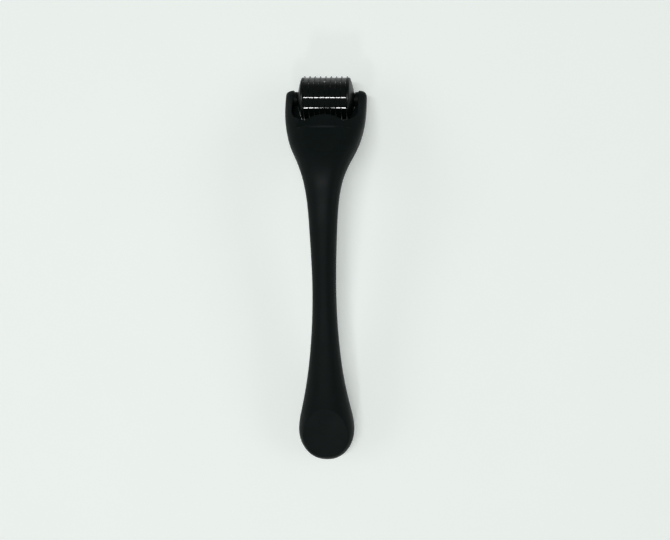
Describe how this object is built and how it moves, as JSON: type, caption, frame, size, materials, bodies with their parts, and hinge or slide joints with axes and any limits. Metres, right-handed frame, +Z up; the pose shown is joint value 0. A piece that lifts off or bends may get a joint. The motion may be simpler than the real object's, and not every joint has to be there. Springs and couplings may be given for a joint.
{
  "type": "derma roller",
  "caption": "Hand-held derma roller: an arched, fork-ended handle that carries a free-running drum of needle discs.",
  "frame": {"origin": "under the middle of the bounding box, on the plane that the needle tips and the butt rest on", "axes": "+X along the roller's axle, +Y from the butt of the handle to the roller, +Z up out of the front"},
  "size_m": [0.0306, 0.146, 0.0268],
  "materials": {
    "handle_plastic": "satin black moulding with a fine texture",
    "bush_plastic": "plain black, slightly waxy",
    "roller_plastic": "polished black moulding",
    "core_plastic": "plain black, hidden",
    "axle_steel": "ground stainless pin",
    "needle_steel": "etched stainless sheet"
  },
  "bodies": {
    "handle": {"handle_front_shell": "handle_plastic", "handle_back_shell": "handle_plastic", "bush_left": "bush_plastic", "bush_right": "bush_plastic"},
    "roller": {"axle_pin": "axle_steel", "roller_core": "core_plastic", "end_cap_left": "roller_plastic", "end_cap_right": "roller_plastic", "needle_disc_1": "needle_steel", "needle_disc_2": "needle_steel", "needle_disc_3": "needle_steel", "needle_disc_4": "needle_steel", "needle_disc_5": "needle_steel", "needle_disc_6": "needle_steel", "needle_disc_7": "needle_steel", "needle_disc_8": "needle_steel", "needle_disc_9": "needle_steel", "spacer_1": "roller_plastic", "spacer_2": "roller_plastic", "spacer_3": "roller_plastic", "spacer_4": "roller_plastic", "spacer_5": "roller_plastic", "spacer_6": "roller_plastic", "spacer_7": "roller_plastic", "spacer_8": "roller_plastic"}
  },
  "joints": [
    {"name": "roller_spin", "type": "hinge", "parent": "handle", "child": "roller", "pos_m": [0, 0.0643, 0.0087], "axis": [1, 0, 0], "continuous": true}
  ]
}
